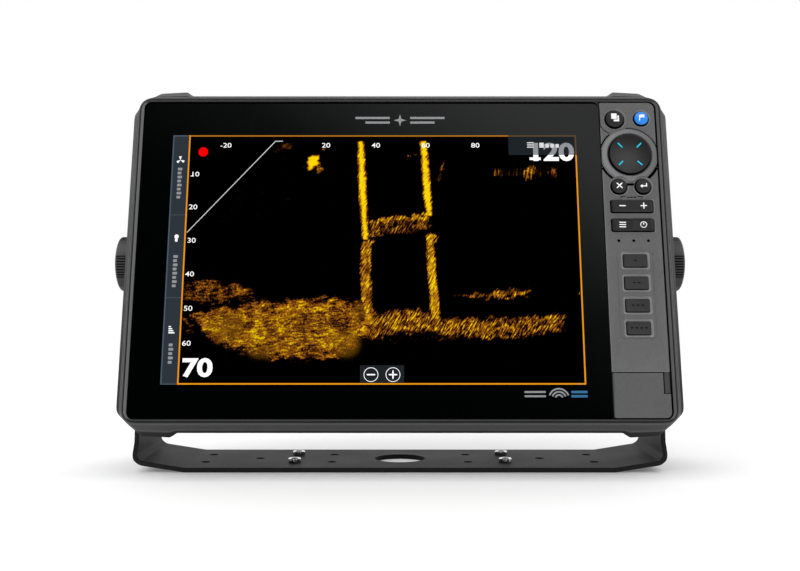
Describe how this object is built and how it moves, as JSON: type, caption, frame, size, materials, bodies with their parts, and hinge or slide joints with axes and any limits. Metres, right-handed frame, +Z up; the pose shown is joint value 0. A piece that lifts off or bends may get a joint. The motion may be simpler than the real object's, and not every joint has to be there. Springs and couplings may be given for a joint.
{
  "type": "chartplotter display",
  "caption": "Marine chartplotter with a wide glass screen, side keypad and card door, tilting in a bent-plate yoke bracket held by two round knobs.",
  "frame": {"origin": "middle of the cable hole at the bracket's underside", "axes": "+X to the right seen from in front, +Y away from the viewer (the screen faces -Y), +Z up"},
  "size_m": [0.3768, 0.1157, 0.2458],
  "materials": {
    "bracket_steel": "satin powder coat",
    "screw_chrome": "polished",
    "bezel_plastic": "fine textured",
    "frame_plastic": "fine textured",
    "cover_glass": "black-edged, polished",
    "foam": "matt",
    "lcd_glass": "polished",
    "backlight": "satin",
    "cast_alloy": "as cast",
    "panel_plastic": "fine textured",
    "silicone": "matt",
    "circuit_board": "solder mask",
    "tin_plate": "bright",
    "lens_black": "gloss",
    "key_plastic": "satin",
    "key_blue": "satin",
    "pad_plastic": "satin",
    "housing_plastic": "textured",
    "fin_alloy": "black anodised",
    "steel": "bright",
    "label": "satin foil",
    "socket_plastic": "satin",
    "thermal_gel": "soft",
    "brass": "turned",
    "ribbon": "film",
    "ceramic": "matt",
    "knob_plastic": "textured",
    "nylon": "natural"
  },
  "bodies": {
    "bracket": {"gimbal_bracket": "bracket_steel", "base_hex_screws": "screw_chrome"},
    "display": {"front_bezel": "bezel_plastic", "front_frame": "frame_plastic", "cover_glass": "cover_glass", "screen_gasket": "foam", "lcd_cell": "lcd_glass", "backlight_unit": "backlight", "chassis_plate": "cast_alloy", "keypad_fascia": "panel_plastic", "keypad_mat": "silicone", "keypad_board": "circuit_board", "keypad_switches": "tin_plate", "status_lenses": "lens_black", "nav_post": "steel", "card_door_pin": "steel", "card_door_seal": "silicone", "card_bay": "socket_plastic", "card_reader": "tin_plate", "housing_gasket": "silicone", "rear_housing": "housing_plastic", "heat_sink": "fin_alloy", "rear_screws": "steel", "vent_plug": "lens_black", "rating_plate": "label", "power_socket": "socket_plastic", "sonar_sockets": "socket_plastic", "network_sockets": "socket_plastic", "connector_board": "circuit_board", "main_board": "circuit_board", "shield_can": "tin_plate", "thermal_pad": "thermal_gel", "heat_spreader": "cast_alloy", "board_standoffs": "brass", "lcd_ribbon_cable": "ribbon", "keypad_ribbon_cable": "ribbon", "gps_antenna": "ceramic", "backup_battery": "tin_plate", "knob_inserts": "brass", "friction_discs": "silicone"},
    "nav_ring": {"nav_gimbal_ring": "steel"},
    "cursor_pad": {"cursor_pad": "pad_plastic"},
    "pages_button": {"pages_button": "key_plastic"},
    "waypoint_button": {"waypoint_button": "key_blue"},
    "exit_button": {"exit_button": "key_plastic"},
    "enter_button": {"enter_button": "key_plastic"},
    "zoom_rocker": {"zoom_rocker": "key_plastic"},
    "menu_power_rocker": {"menu_power_rocker": "key_plastic"},
    "quick_key_1": {"quick_key_1": "key_plastic"},
    "quick_key_2": {"quick_key_2": "key_plastic"},
    "quick_key_3": {"quick_key_3": "key_plastic"},
    "quick_key_4": {"quick_key_4": "key_plastic"},
    "card_door": {"card_door": "panel_plastic"},
    "left_washer": {"left_knob_washer": "nylon"},
    "left_knob": {"left_knob": "knob_plastic", "left_knob_stud": "steel"},
    "right_washer": {"right_knob_washer": "nylon"},
    "right_knob": {"right_knob": "knob_plastic", "right_knob_stud": "steel"}
  },
  "joints": [
    {"name": "display_tilt", "type": "hinge", "parent": "bracket", "child": "display", "pos_m": [0, 0, 0.1323], "axis": [-1, 0, 0], "range_deg": [-9, 45]},
    {"name": "pages_button_press", "type": "slide", "parent": "display", "child": "pages_button", "axis": [0, 0.969, -0.247], "range_m": [0, 0.0008], "stiffness_N_per_m": 1500, "springref_m": -0.0004},
    {"name": "waypoint_button_press", "type": "slide", "parent": "display", "child": "waypoint_button", "axis": [0, 0.969, -0.247], "range_m": [0, 0.0008], "stiffness_N_per_m": 1500, "springref_m": -0.0004},
    {"name": "exit_button_press", "type": "slide", "parent": "display", "child": "exit_button", "axis": [0, 0.969, -0.247], "range_m": [0, 0.0008], "stiffness_N_per_m": 1500, "springref_m": -0.0004},
    {"name": "enter_button_press", "type": "slide", "parent": "display", "child": "enter_button", "axis": [0, 0.969, -0.247], "range_m": [0, 0.0008], "stiffness_N_per_m": 1500, "springref_m": -0.0004},
    {"name": "quick_key_1_press", "type": "slide", "parent": "display", "child": "quick_key_1", "axis": [0, 0.969, -0.247], "range_m": [0, 0.0008], "stiffness_N_per_m": 1500, "springref_m": -0.0004},
    {"name": "quick_key_2_press", "type": "slide", "parent": "display", "child": "quick_key_2", "axis": [0, 0.969, -0.247], "range_m": [0, 0.0008], "stiffness_N_per_m": 1500, "springref_m": -0.0004},
    {"name": "quick_key_3_press", "type": "slide", "parent": "display", "child": "quick_key_3", "axis": [0, 0.969, -0.247], "range_m": [0, 0.0008], "stiffness_N_per_m": 1500, "springref_m": -0.0004},
    {"name": "quick_key_4_press", "type": "slide", "parent": "display", "child": "quick_key_4", "axis": [0, 0.969, -0.247], "range_m": [0, 0.0008], "stiffness_N_per_m": 1500, "springref_m": -0.0004},
    {"name": "zoom_rocker_rock", "type": "hinge", "parent": "display", "child": "zoom_rocker", "pos_m": [0.1478, -0.0311, 0.16819], "axis": [0, 0.247, 0.969], "range_deg": [-2.5, 2.5], "stiffness_Nm_per_rad": 0.18},
    {"name": "menu_power_rocker_rock", "type": "hinge", "parent": "display", "child": "menu_power_rocker", "pos_m": [0.1478, -0.03417, 0.15613], "axis": [0, 0.247, 0.969], "range_deg": [-2.5, 2.5], "stiffness_Nm_per_rad": 0.18},
    {"name": "nav_ring_tip", "type": "hinge", "parent": "display", "child": "nav_ring", "pos_m": [0.1478, -0.02229, 0.20155], "axis": [1, 0, 0], "range_deg": [-3, 3], "stiffness_Nm_per_rad": 0.25},
    {"name": "cursor_pad_roll", "type": "hinge", "parent": "nav_ring", "child": "cursor_pad", "pos_m": [0.1478, -0.02229, 0.20155], "axis": [0, 0.247, 0.969], "range_deg": [-3, 3], "stiffness_Nm_per_rad": 0.25},
    {"name": "card_door_swing", "type": "hinge", "parent": "display", "child": "card_door", "pos_m": [0.1322, -0.06027, 0.0505], "axis": [0, -0.247, -0.969], "range_deg": [0, 100]},
    {"name": "left_knob_travel", "type": "slide", "parent": "display", "child": "left_washer", "axis": [-1, 0, 0], "range_m": [0, 0.00375]},
    {"name": "left_knob_turn", "type": "hinge", "parent": "left_washer", "child": "left_knob", "pos_m": [-0.176, 0, 0.1323], "axis": [-1, 0, 0], "range_deg": [0, 1080]},
    {"name": "right_knob_travel", "type": "slide", "parent": "display", "child": "right_washer", "axis": [1, 0, 0], "range_m": [0, 0.00375]},
    {"name": "right_knob_turn", "type": "hinge", "parent": "right_washer", "child": "right_knob", "pos_m": [0.176, 0, 0.1323], "axis": [1, 0, 0], "range_deg": [0, 1080]}
  ],
  "couplings": [
    {"joint": "left_knob_turn", "follows": "left_knob_travel", "rad_per_m": 5026.5},
    {"joint": "right_knob_turn", "follows": "right_knob_travel", "rad_per_m": 5026.5}
  ]
}
